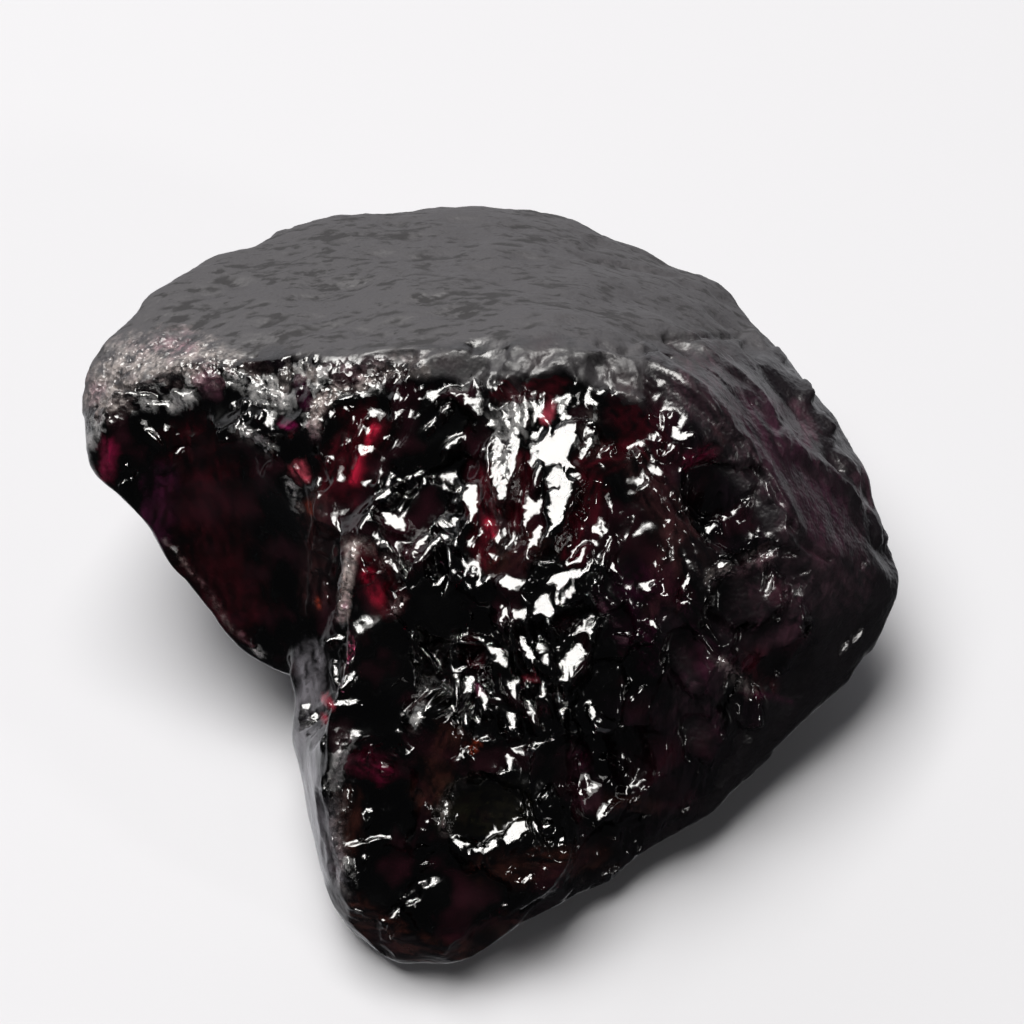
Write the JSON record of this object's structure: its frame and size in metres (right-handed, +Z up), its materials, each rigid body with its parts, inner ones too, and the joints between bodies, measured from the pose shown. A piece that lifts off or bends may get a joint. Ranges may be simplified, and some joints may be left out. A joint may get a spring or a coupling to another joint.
{
  "type": "rough painite",
  "caption": "Rough, waterworn lump of dark red crystal: flat worn skin above, scalloped glassy break in front, flat base to rest on.",
  "frame": {"origin": "on the flat base, under the middle of the lump's box", "axes": "+Z up, -Y towards the glassy break, +X towards the right end as the break is seen"},
  "size_m": [0.0328, 0.0314, 0.0194],
  "materials": {
    "painite_crystal": "gloss"
  },
  "bodies": {
    "root": {"rough_painite": "painite_crystal"}
  },
  "joints": []
}
